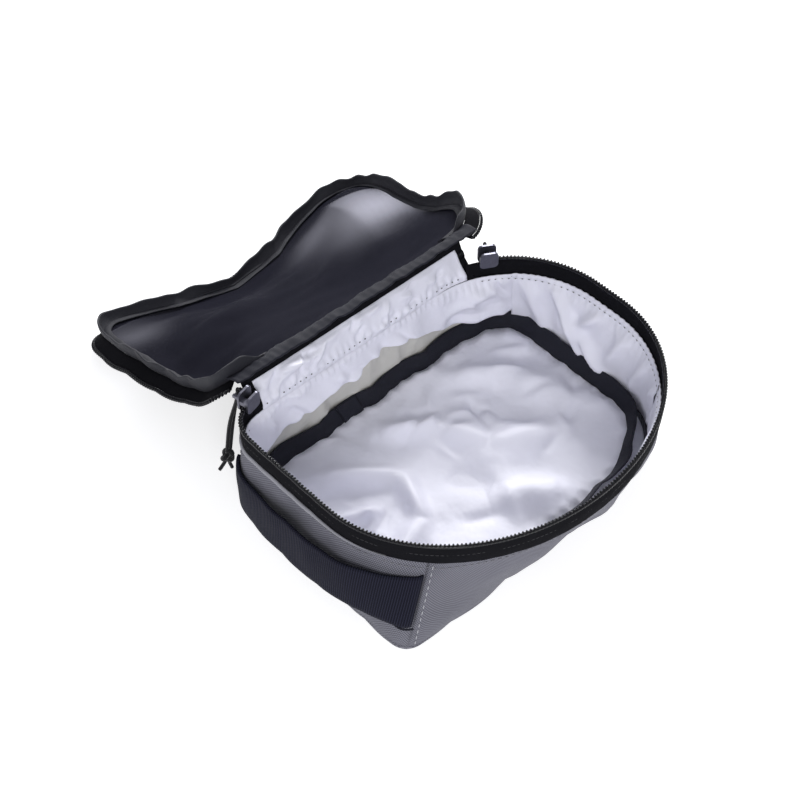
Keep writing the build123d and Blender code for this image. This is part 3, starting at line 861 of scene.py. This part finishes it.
def rim_tape():
    """Upright knitted tape round the opening, bowed out very slightly."""
    back = RIM.high[1] - CENTRE[1]
    start = math.atan2(back, STRIP_LEFT - 0.6) % TURN
    end = math.atan2(back - 2.5, STRIP_RIGHT + 0.8) + TURN
    angles = RIM.stations(start, end, 1.6)
    heights = np.linspace(WALL_TOP - 0.4, TAPE_TOP + 0.5, 14)
    run = along(RIM.at(angles))[:, None]
    share = np.linspace(0, 1, 14)[None, :]
    lean = 0.5 * np.sin(math.pi * share) + 0.12 * ripples(run, heights[None, :], 80, 12, 1.0)
    outward = rim_outward(angles)
    flat = RIM.at(angles, 0.0)[:, None] + outward * lean[..., None]
    z = np.broadcast_to(heights[None, :], lean.shape)
    piece = sheet("rim_zip_tape_knit", np.concatenate([flat, z[..., None]], -1), TAPE_SKIN, TAPE)
    place(piece, "zip_tape", "rim_zip_tape")


def teeth(name, line, outward):
    """Coil teeth along a line: narrow beads set across the chain."""
    places, ahead, share = spaced(line, TOOTH_PITCH)
    run = along(line) / along(line)[-1]
    facing = unit(np.stack([np.interp(share, run, outward[:, k]) for k in range(3)], 1))
    return repeat(name, sausage(2.6, 1.35, 2.3, 8, 5), places, facing, ahead, COIL)


rim_tape()
chain_angles = RIM.stations(CHAIN_START, CHAIN_END, 1.0)
chain_flat = RIM.at(chain_angles, CHAIN_INSET)
chain_line = np.column_stack([chain_flat, np.full(len(chain_flat), COIL_Z)])
chain_out = np.column_stack([unit(chain_flat - CENTRE), np.zeros(len(chain_flat))])
place(teeth("rim_zip_teeth", chain_line, chain_out), "zip_coil", "rim_zip_coil")
place(tube("rim_zip_core", chain_line - np.array([0, 0, 0.45]), 0.95, COIL, 8), "zip_coil")
sewing_line = chain_line - np.array([0, 0, 6.0]) + chain_out * 0.75
sewing = stitches("rim_tape_stitching", sewing_line[::3], chain_out[::3], BLACK_THREAD, 2.4, 1.9, 0.5)
place(sewing, "zip_tape")


def lining_topstitch():
    """Needle holes and thread along the lining's sewn edge."""
    angles = RIM.stations(CHAIN_START, CHAIN_END, 2.0)
    flat = RIM.at(angles, LINING_INSET + 0.9)
    inward = np.column_stack([-unit(flat - CENTRE), np.zeros(len(flat))])
    line = np.column_stack([flat, np.full(len(flat), LINING_TOP - 2.2)])
    row = stitches("lining_edge_holes", line + inward * 0.2, inward, HOLE, 3.6, 0.9, 0.7)
    place(row, "lining")
    thread = stitches("lining_edge_thread", line + inward * 0.1, inward, WHITE_THREAD, 3.6, 2.5, 0.5)
    place(thread, "lining")


lining_topstitch()


# ---------------------------------------------------------------- hinge strip

ALONG_X = np.array([1, 0, 0])
STRIP_UP = unit(FOLD - STRIP_FOOT)
STRIP_LENGTH = float(np.linalg.norm(FOLD - STRIP_FOOT))
STRIP_IN = np.array([0, -STRIP_UP[2], STRIP_UP[1]])  # towards the inside of the pouch
STRIP_TAB = 5.5  # the black layer behind runs this far past the white one
STRIP_GAP = 2.8  # the white layer stops this far short of the fold


def foot_shift(x):
    """How far the rim curves forward of the strip's straight foot at each x."""
    back = RIM.points(LINING_INSET - 0.6)
    back = back[back[:, 1] > CENTRE[1]]
    order = np.argsort(back[:, 0])
    return np.minimum(np.interp(x, back[order, 0], back[order, 1]) - STRIP_FOOT[1], 0.0)


def hinge_strip():
    """White wrinkled lining over a black layer, between the back seam and the lid."""
    x = np.arange(STRIP_LEFT, STRIP_RIGHT + 0.1, 1.0)[:, None]
    share = np.linspace(0, 1, 26)[None, :]
    v = share * (STRIP_LENGTH - STRIP_GAP)
    slack = smooth(share * 5) * smooth((1 - share) * 6)
    lift = 1.6 * slack + ripples(x, v, 90, 20, 0.7, 0.7) * slack
    lift = lift + wrinkles(x - STRIP_LEFT, v, 91, 15, 2.4, 70, (138, 20), 0.5, 0.8) * slack
    lift = lift + crease(x, v, (-70, 8), (-52, 12), 1.6, 1.6) + crease(x, v, (-66, 14), (-44, 11), 2.2, 2.0)
    pucker = 0.55 * np.sin(x * TURN / 4.4 + ripples(x, 0, 92, 22, 1.0)) * (1 - smooth(share * 1.8))
    lift = np.maximum(lift + pucker * smooth(share * 8), -0.3)
    drift = 0.45 * np.sin(math.pi * share) * np.sin(x / 18)
    grid = (STRIP_FOOT + ALONG_X * (x + drift)[..., None] + STRIP_UP * (v * np.ones_like(x))[..., None]
            + STRIP_IN * (0.7 + lift)[..., None])
    grid[..., 1] += foot_shift(x) * (1 - smooth(share * 1.6))
    inner = sheet("hinge_strip_lining_cloth", grid, LINING_SKIN, LINING)
    place(inner, "lining", "hinge_strip_lining", body="hinge_strip")
    x = np.arange(STRIP_LEFT - STRIP_TAB, STRIP_RIGHT + STRIP_TAB, 1.5)[:, None]
    v = share * STRIP_LENGTH
    outer_lift = 0.35 * ripples(x, v, 93, 24, 1.0) * slack - 0.3
    grid = (STRIP_FOOT + ALONG_X * (x * np.ones_like(v))[..., None]
            + STRIP_UP * (v * np.ones_like(x))[..., None] - STRIP_IN * (0.9 + outer_lift * 0.5)[..., None])
    grid[..., 1] += foot_shift(x) * (1 - smooth(share * 1.6))
    outer = sheet("hinge_strip_outer_cloth", grid[::-1], 0.8, TAPE)
    place(outer, "outer_fabric", "hinge_strip_outer", body="hinge_strip")
    x = np.arange(STRIP_LEFT + 1, STRIP_RIGHT, 1.0)[:, None]
    line = STRIP_FOOT + ALONG_X * x + STRIP_UP * 2.4 + STRIP_IN * 1.5
    line[:, 1] += foot_shift(x[:, 0])
    facing = np.repeat(STRIP_IN[None], len(line), 0)
    row = stitches("hinge_strip_holes", line, facing, HOLE, 3.6, 0.9, 0.7)
    place(row, "lining", body="hinge_strip")


hinge_strip()


# ---------------------------------------------------------------- lid

LID_AWAY = np.array([0, math.cos(LID_SLOPE), -math.sin(LID_SLOPE)])
LID_IN = np.array([0, math.sin(LID_SLOPE), math.cos(LID_SLOPE)])
LID_FRONT = STRIP_FOOT[1] + 72  # distance from the fold to the lid's front edge, coil included
LID_CENTRE = np.array([0.0, 72.0])
LID_EDGE = Outline((-101, -1.5), (101, LID_FRONT), [(26, 26), (20, 20), (34, 34), (40, 40)], LID_CENTRE)
FLOOR_CLEAR = 1.2


def lid_points(x, y, depth):
    """Lid coordinates to the CAD frame, kept above the table the lid hangs down to."""
    x, y, depth = np.broadcast_arrays(x, y, depth)
    points = FOLD + ALONG_X * x[..., None] + LID_AWAY * y[..., None] + LID_IN * depth[..., None]
    under = np.maximum(FLOOR_CLEAR - points[..., 2], 0)
    points[..., 2] += under
    return points


def hill(x, y, at, spread, height):
    """A smooth rise or hollow."""
    return height * np.exp(-(((x - at[0]) / spread[0]) ** 2 + ((y - at[1]) / spread[1]) ** 2))


def lid_sag(x, y):
    """Depth of the limp lid's surface: hollow along its left side and far middle, humped at the right."""
    ease = smooth(y / 26)
    level = -4.5 * ease
    level = level + hill(x, y, (-96, 50), (26, 42), -6.5) * ease
    level = level + hill(x, y, (-2, 134), (50, 34), -12.0)
    level = level + hill(x, y, (-88, 140), (24, 26), 5.5)
    level = level + hill(x, y, (70, 104), (26, 26), 12.5)
    level = level + hill(x, y, (98, 22), (18, 22), 9.0)
    level = level + hill(x, y, (0, 60), (60, 30), -4.0)
    return level


def pull_in(x, y):
    """The far edge's middle is drawn towards the fold where the limp mesh hangs."""
    return y - 13 * np.exp(-(((x - 4) / 52) ** 2)) * smooth((y - 50) / 70)


def lid_piece(piece, slot, *nodes):
    """A soft piece of the lid: rides on it, with its own copy of its mesh."""
    place(piece, slot, *nodes, body="lid")
    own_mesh(piece)


BORDER_INSET = 10.0
BORDER_RISE = 8.5


def lid_mesh():
    """The see-through panel: rides in broad waves; how much shows through is set in patches, painted light
    where the lit table shows through and painted shade where shade lies under the lid.
    """
    angles = LID_EDGE.stations(0.0, TURN, 2.2)[:-1]
    edge = LID_EDGE.at(angles, BORDER_INSET + 0.6)
    share = np.linspace(1, 0.03, 50)[None, :, None]
    flat = LID_CENTRE + (edge[:, None] - LID_CENTRE) * share
    x, y = flat[..., 0], flat[..., 1]
    free = smooth((1 - share[..., 0]) * 6)
    depth = 0.8 + lid_sag(x, y) + (ripples(x, y, 100, 60, 1.6) + ripples(x, y, 101, 26, 0.5)) * free
    depth = depth + crease(x, y, (-92, 18), (-40, 70), 9, -2.5)
    depth = depth + crease(x, y, (-80, 60), (-20, 96), 10, 2.5) * free
    depth = depth + crease(x, y, (-30, 24), (40, 74), 9, 2.0) * free
    grid = lid_points(x, pull_in(x, y), depth)
    piece = sheet("lid_mesh_cloth", grid, 0.4, MESH, closed=True, cap=True)
    # painted light and shade: hills raise the see-through share where the lit table shows through the raised
    # lid and lower it where shade lies under the lid; the small base share and faint ripples are the mesh's
    # own openness
    see_through_and_light = 0.03 + hill(x, y, (72, 84), (40, 24), 0.58) + hill(x, y, (40, 112), (26, 16), 0.30)
    see_through_and_light = see_through_and_light + hill(x, y, (-76, 116), (20, 18), 0.40)
    see_through_and_light = see_through_and_light - hill(x, y, (-60, 30), (40, 30), 0.12) - hill(x, y, (30, 30), (50, 20), 0.06)
    see_through_and_light = see_through_and_light + hill(x, y, (-20, 96), (20, 12), 0.12)
    see_through_and_light = np.clip(see_through_and_light + 0.02 * ripples(x, y, 102, 30, 1.0), 0.02, 0.66)
    values = np.concatenate([see_through_and_light.ravel(), see_through_and_light.ravel()]).astype(np.float32)
    piece.data.attributes.new("see_through_and_light", "FLOAT", "POINT").data.foreach_set("value", values)
    lid_piece(piece, "mesh", "lid_mesh_panel")


lid_mesh()


def lid_border():
    """Standing binding round the mesh: wavy, with a dark line along its inner edge."""
    start, end = math.radians(-45), math.radians(226)
    angles = LID_EDGE.stations(start, end, 1.4)
    edge = LID_EDGE.at(angles, BORDER_INSET)
    run = along(edge)
    wave = 1.5 * ripples(run, 0, 110, 30, 1.0) + 0.8 * ripples(run, 0, 111, 14, 1.0)
    share = np.linspace(0, 1, 12)[None, :]
    x0, y0 = edge[:, 0], edge[:, 1]
    outward = unit(edge - LID_CENTRE)
    lean = (1.8 + 0.8 * ripples(run, 0, 112, 34, 1.0))[:, None] * share
    bow = 0.9 * np.sin(math.pi * share)
    x = x0[:, None] + outward[:, :1] * (lean + bow)
    y = y0[:, None] + outward[:, 1:] * (lean + bow)
    floor_level = (lid_sag(x0, y0) + 0.4)[:, None]
    height = (BORDER_RISE + 0.8 * wave)[:, None]
    ends = smooth((run - 2) / 12) * smooth((run[-1] - 2 - run) / 12)
    depth = floor_level + height * share * (0.35 + 0.65 * ends)[:, None]
    grid = lid_points(x, pull_in(x, y), depth)
    lid_piece(sheet("lid_border_tape", grid, 1.0, BORDER), "binding", "lid_border_binding")
    inner = LID_EDGE.at(angles, BORDER_INSET + 4.0)
    flange_x = x0[:, None] + (inner[:, 0] - x0)[:, None] * share
    flange_y = y0[:, None] + (inner[:, 1] - y0)[:, None] * share
    lift = lid_sag(flange_x, flange_y) + 1.5 + 0.5 * np.sin(math.pi * share) + 0.15 * wave[:, None]
    grid = lid_points(flange_x, pull_in(flange_x, flange_y), lift)
    lid_piece(sheet("lid_border_flange", grid[::-1], 0.6, BORDER), "binding")
    facing = np.repeat(LID_IN[None], len(angles), 0)
    line_x, line_y = flange_x[:, 9], flange_y[:, 9]
    line = lid_points(line_x, pull_in(line_x, line_y), lift[:, 9] + 0.35)
    lid_piece(stitches("lid_border_stitching", line, facing, BLACK_THREAD, 2.6, 2.0, 0.5), "binding")


lid_border()


def lid_band():
    """The wider band along the hinge, puckered where it is sewn."""
    x = np.arange(STRIP_LEFT - 8, STRIP_RIGHT + 17, 1.1)[:, None]
    share = np.linspace(0, 1, 16)[None, :]
    width = 11.5 + 2.5 * smooth((x + 20) / -50) + 0.8 * ripples(x, 0, 120, 24, 1.0)
    y = -2.0 + 0.5 * ripples(x, 0, 121, 18, 1.0) * (1 - share) + (width + 0.8) * share
    lift = 1.4 + 1.1 * np.sin(math.pi * share) + 0.16 * np.sin(x * TURN / 5.2 + ripples(x, 0, 122, 20, 1.4))
    lift = lift + ripples(x, y, 123, 14, 0.3)
    depth = lift + lid_sag(x, np.maximum(y, 0)) * share
    piece = sheet("lid_hinge_band_tape", lid_points(x, y, depth), 0.9, BINDING)
    lid_piece(piece, "binding", "lid_hinge_band")


lid_band()

LID_CHAIN_START = math.radians(-42)
LID_CHAIN_END = math.radians(218)
TAPE_REACH = 9.4


def lid_zip():
    """Tape and coil of the lid: splayed out at the left, turned down along the far and right sides."""
    angles = LID_EDGE.stations(LID_CHAIN_START, LID_CHAIN_END, 1.3)
    edge = LID_EDGE.at(angles, BORDER_INSET)
    outward = unit(edge - LID_CENTRE)
    left = smooth((angles - math.radians(145)) / 0.5)
    drop = np.radians(34 - 24 * left)
    run = along(edge)
    share = np.linspace(0, 1, 12)[None, :]
    reach = (TAPE_REACH * np.cos(drop))[:, None] * share
    x = edge[:, :1] + outward[:, :1] * reach
    y = edge[:, 1:] + outward[:, 1:] * reach
    wave = 0.5 * ripples(run, 0, 130, 30, 1.0)[:, None] * share
    depth = lid_sag(*edge.T)[:, None] + 0.2 - (TAPE_REACH * np.sin(drop))[:, None] * share + wave
    grid = lid_points(x, pull_in(x, y), depth)
    lid_piece(sheet("lid_zip_tape_knit", grid, 0.8, TAPE), "zip_tape", "lid_zip_tape")
    line = grid[:, -1] + LID_IN * 0.7
    outward3 = unit(grid[:, -1] - grid[:, 0])
    lid_piece(teeth("lid_zip_teeth", line, outward3), "zip_coil", "lid_zip_coil")
    lid_piece(tube("lid_zip_core", line - outward3 * 0.6, 0.8, COIL, 8), "zip_coil")


lid_zip()


# ---------------------------------------------------------------- grab handle

HANDLE_BOW = 6.5  # how far the strap's middle stands off the wall
HANDLE_DROP = 5.5  # its rear end is sewn in lower
HANDLE_LIFT = 3.0  # and its front end higher


def handle():
    """Ribbed webbing that bows out from the end wall; its ends run into the corner seams."""
    low, high = box("grab_handle")
    angles = RIM.stations(BACK_LEFT + 0.006, FRONT_LEFT - 0.006, 1.0)
    run = along(RIM.at(angles))[:, None]
    share = run / run.max()
    heights = np.linspace(low[2], high[2], 15)[None, :] - HANDLE_DROP * (1 - share) ** 1.5
    heights = heights + HANDLE_LIFT * share ** 2
    middle = np.sin(math.pi * share)
    bow = HANDLE_BOW * middle ** 1.2
    cup = 0.5 * np.sin(math.pi * np.linspace(0, 1, 15))[None, :]
    sway = 0.3 * ripples(run, heights, 140, 34, 1.0) * middle
    free = smooth(share * 5) * smooth((1 - share) * 5)
    shelf = outer_bulge(angles, heights) * (1 - middle) + 1.5 + 0.4 * free
    grid = wall_grid(angles, heights, 0.0, shelf + bow + cup + sway)
    piece = sheet("grab_handle_webbing", grid, 1.5, WEBBING)
    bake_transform(piece)
    stand_for(piece, "webbing", "grab_handle", "handle_sewn_ends")


handle()


# ---------------------------------------------------------------- sliders and cord pulls

for node in ("left_slider", "right_slider"):
    cad = frame["nodes"][node]
    cad.data.materials.clear()
    cad.data.materials.append(METAL)
    edge = cad.modifiers.new("soft_edges", "BEVEL")
    edge.width = 0.35 * MM
    edge.segments = 3
    edge.limit_method = "ANGLE"


def chain_stub():
    """The few teeth that stay meshed between the hinge strip and the right slider."""
    low, high = box("closed_chain_end")
    middle = (low + high) / 2
    count = 5
    ups = np.repeat(STRIP_UP[None], count, 0)
    ahead = np.repeat(np.array([[1.0, 0, 0]]), count, 0)
    places = np.linspace(low[0] + 0.5, high[0] - 0.5, count)[:, None] * ahead + middle * [0, 1, 1]
    beads = repeat("closed_chain_teeth", sausage(4.4, 0.85, 2.4, 8, 5), places, ups, ahead, COIL)
    place(beads, "zip_coil", "closed_chain_end", body="hinge_strip")


chain_stub()


def knot_line(centre, size, down):
    """A cord's path through an overhand knot, along the direction down."""
    down = unit(np.array(down, float))
    side = unit(np.cross(down, (0.2, 1.0, 0.1)))
    front = np.cross(down, side)
    t = np.linspace(0, TURN, 60)
    a = (np.sin(t) + 2 * np.sin(2 * t)) / 3
    b = (np.cos(t) - 2 * np.cos(2 * t)) / 3
    c = -np.sin(3 * t) / 2.2
    return centre + size * (a[:, None] * side + b[:, None] * down + c[:, None] * front)


def cord_pull(name, bar, knot, body):
    """Cord doubled through the slider's bail, tied in an overhand knot with two short tails."""
    cord = 0.95
    bar, knot = np.array(bar, float), np.array(knot, float)
    drop = unit(knot - bar)
    side = unit(np.cross(drop, (0.3, 1.0, 0.2)))
    over = [knot - drop * 2 + side * 0.9, (bar + knot) / 2 + side * 1.0 + np.array([0, 1.2, 0]),
            bar + side * 1.0 + np.array([0, 1.6, -1.0]), bar + np.array([0, 0.0, 1.9]),
            bar + side * -1.0 + np.array([0, -1.4, -1.0]),
            (bar + knot) / 2 - side * 1.0 + np.array([0, 1.0, 0]), knot - drop * 2 - side * 0.9]
    loop = tube(f"{name}_loop", curve_through(over, 90), cord, CORD)
    tie = tube(f"{name}_knot", knot_line(knot, 3.0, drop), 1.4, CORD)
    tails = []
    for number, lean in enumerate((-1, 1)):
        end = knot + drop * 8.5 + side * lean * 3.6
        path = curve_through([knot, knot + drop * 4 + side * lean * 1.2, end], 24)
        tails.append(tube(f"{name}_tail_{number + 1}", path, cord, CORD))
    for piece in (loop, tie, *tails):
        place(piece, "cord", body=body)
    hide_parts(name)


left_bar = np.array(joint("left_pull_swing")["pos_m"]) / MM
right_bar = np.array(joint("right_pull_swing")["pos_m"]) / MM
left_low = box("left_cord_pull")[0]
right_low = box("right_cord_pull")[0]
left_knot = (left_low[0] + 4.5, left_bar[1] - 2.0, left_low[2] + 11)
right_knot = (right_bar[0] + 2, right_bar[1] + 2.4, right_low[2] + 9)
cord_pull("left_cord_pull", left_bar, left_knot, "pull_left")
cord_pull("right_cord_pull", right_bar, right_knot, "pull_right")


# ---------------------------------------------------------------- table, light and camera

def studio():
    """Pale table, soft light from all sides, a key from above, a weaker fill and a white backdrop."""
    n = Nodes("table_white")
    grain = n.noise(8.0)
    n.link(n.mix(grain, (0.58, 0.58, 0.585), (0.61, 0.61, 0.615)), n.shader.inputs["Base Color"])
    n.finish(Roughness=0.6, Emission_Color=(1, 1, 1, 1), Emission_Strength=0.68)
    size = 3.0 / MM
    corners = [(-size, -size, -0.2), (size, -size, -0.2), (size, size, -0.2), (-size, size, -0.2)]
    table = mesh_piece("table", corners, [(0, 1, 2, 3)], n.material)
    world = bpy.data.worlds.new("studio")
    bpy.context.scene.world = world
    world.use_nodes = True
    sky = world.node_tree.nodes["Background"]
    sky.inputs["Color"].default_value = (0.93, 0.94, 1.0, 1)
    sky.inputs["Strength"].default_value = 0.53
    tree = world.node_tree
    backdrop = tree.nodes.new("ShaderNodeBackground")
    rays = tree.nodes.new("ShaderNodeLightPath")
    either = tree.nodes.new("ShaderNodeMixShader")
    tree.links.new(rays.outputs["Is Camera Ray"], either.inputs[0])
    tree.links.new(sky.outputs[0], either.inputs[1])
    tree.links.new(backdrop.outputs[0], either.inputs[2])
    tree.links.new(either.outputs[0], tree.nodes["World Output"].inputs["Surface"])
    backdrop.inputs["Color"].default_value = (1, 1, 1, 1)
    for name, place, power, width in (
            ("key", (0.85, 0.75, 0.7), 17.0, 0.35), ("fill", (-0.8, -0.9, 0.7), 8.0, 0.5)):
        light = bpy.data.lights.new(name, "AREA")
        light.energy, light.size = power, width
        lamp = bpy.data.objects.new(name, light)
        lamp.location = place
        lamp.rotation_mode = "QUATERNION"
        lamp.rotation_quaternion = (-Vector(place)).to_track_quat("-Z", "Y")
        bpy.context.scene.collection.objects.link(lamp)


def camera():
    """The camera looks down on the pouch from its front left."""
    azimuth, elevation, distance = math.radians(-42.6), math.radians(48.54), 0.8336
    target = Vector((-0.0302, 0.026, 0.058))
    back = Vector((math.sin(azimuth) * math.cos(elevation), -math.cos(azimuth) * math.cos(elevation),
                   math.sin(elevation)))
    data = bpy.data.cameras.new("camera")
    data.lens, data.sensor_width = 76.5, 36
    eye = bpy.data.objects.new("camera", data)
    eye.location = target + back * distance
    eye.rotation_mode = "QUATERNION"
    eye.rotation_quaternion = (-back).to_track_quat("-Z", "Y")
    bpy.context.scene.collection.objects.link(eye)
    bpy.context.scene.camera = eye


studio()
camera()
bpy.context.scene.view_settings.view_transform = "Standard"
